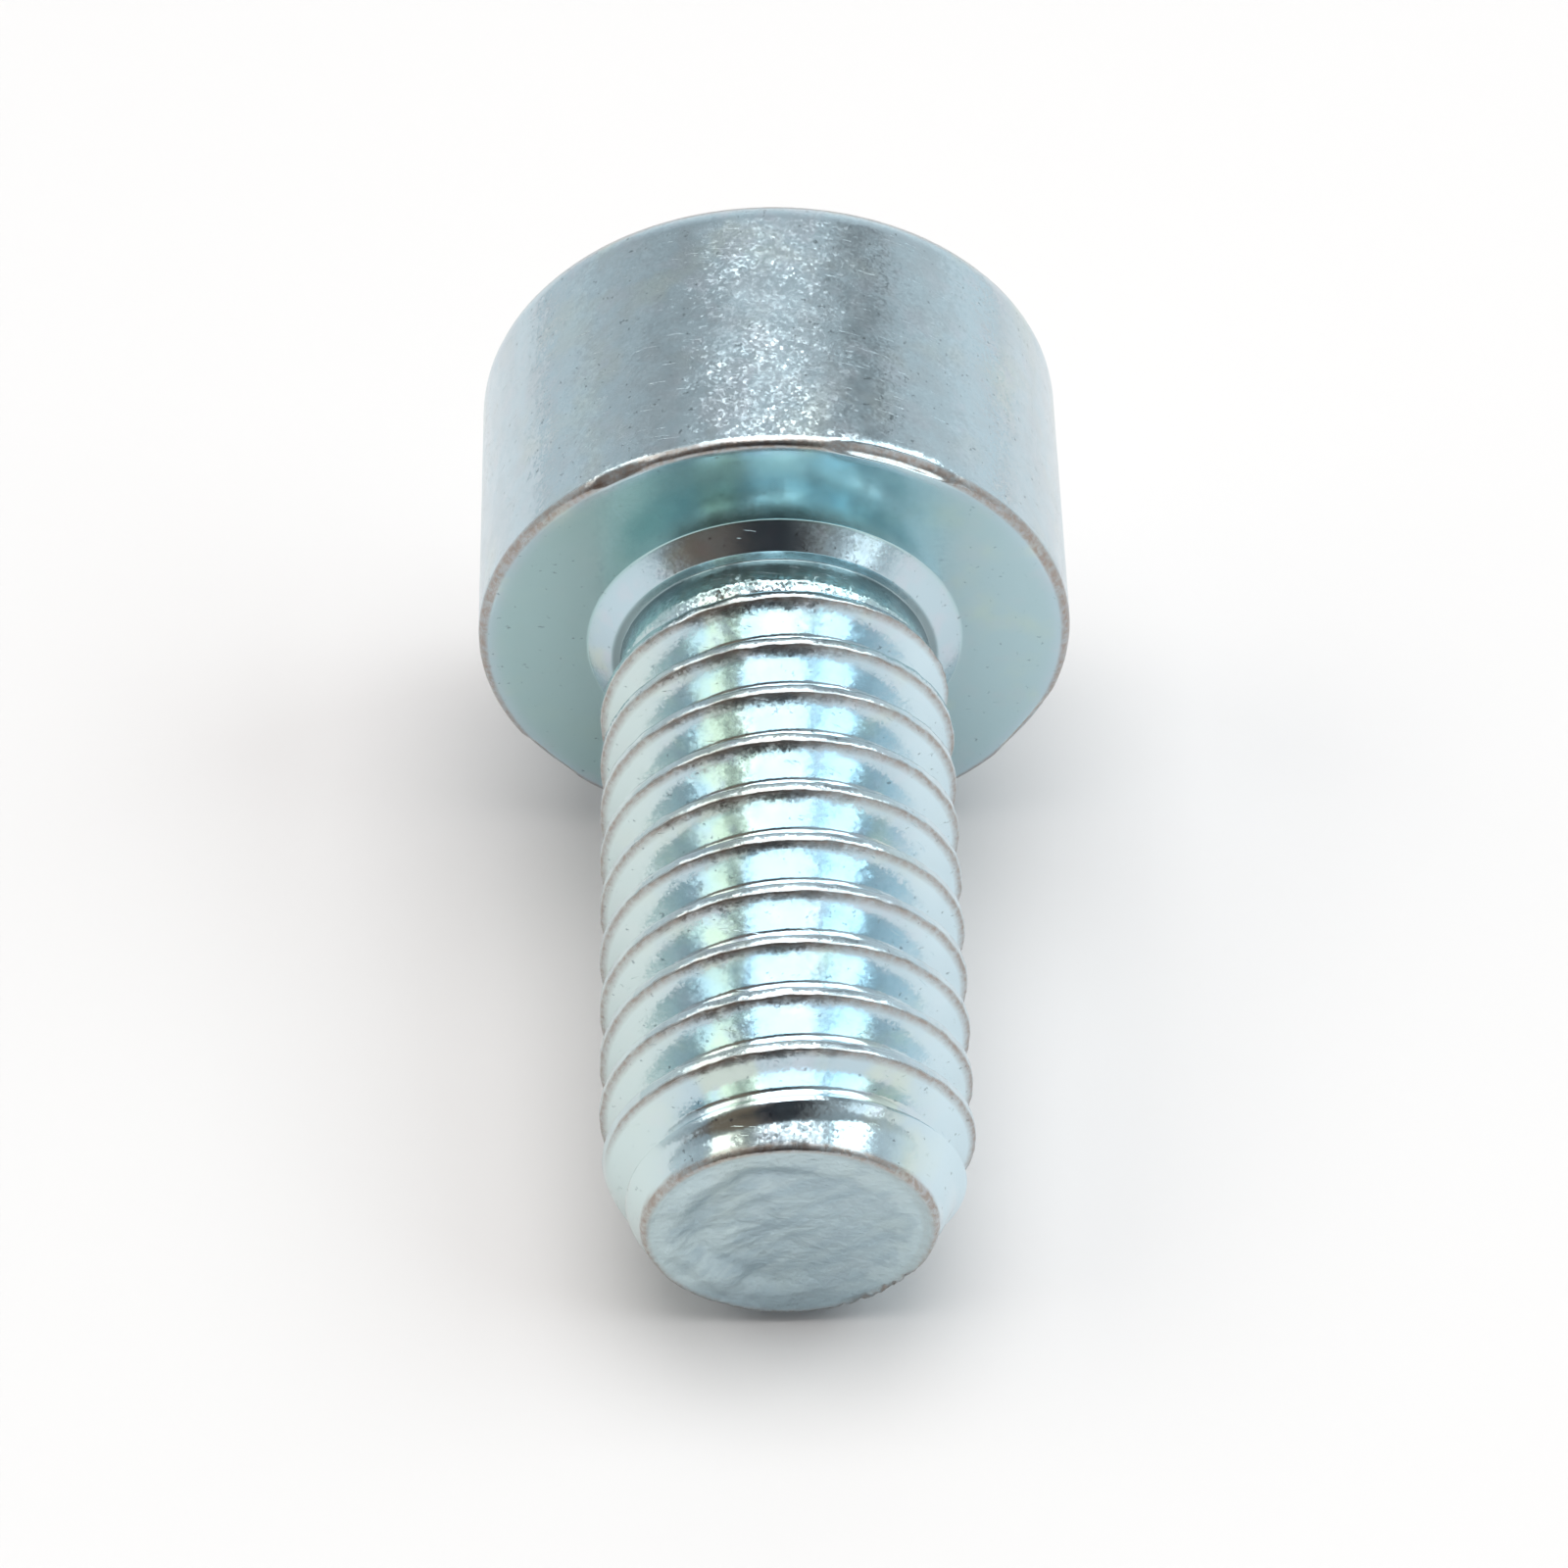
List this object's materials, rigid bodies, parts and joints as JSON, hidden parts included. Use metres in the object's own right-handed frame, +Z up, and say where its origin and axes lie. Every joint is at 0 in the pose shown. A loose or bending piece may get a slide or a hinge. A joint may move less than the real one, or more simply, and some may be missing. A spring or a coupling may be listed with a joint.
{
  "type": "socket head cap screw",
  "caption": "Socket head cap screw with a smooth cylindrical head, a short fully threaded shank and a tapered tip, for clamping parts into a tapped hole; zinc-plated steel, lying on its side.",
  "frame": {"origin": "on the ground, under the centre of the lying screw's bounding box", "axes": "+Z up; the screw lies along Y with its tip towards -Y and its head towards +Y; its axis dips 11.5 degrees towards the tip"},
  "size_m": [0.01, 0.0186, 0.0108],
  "materials": {
    "zinc_plated_steel": "satin zinc plate with a pale blue clear coat, brighter on the worn edges"
  },
  "bodies": {
    "root": {"screw": "zinc_plated_steel"}
  },
  "joints": []
}
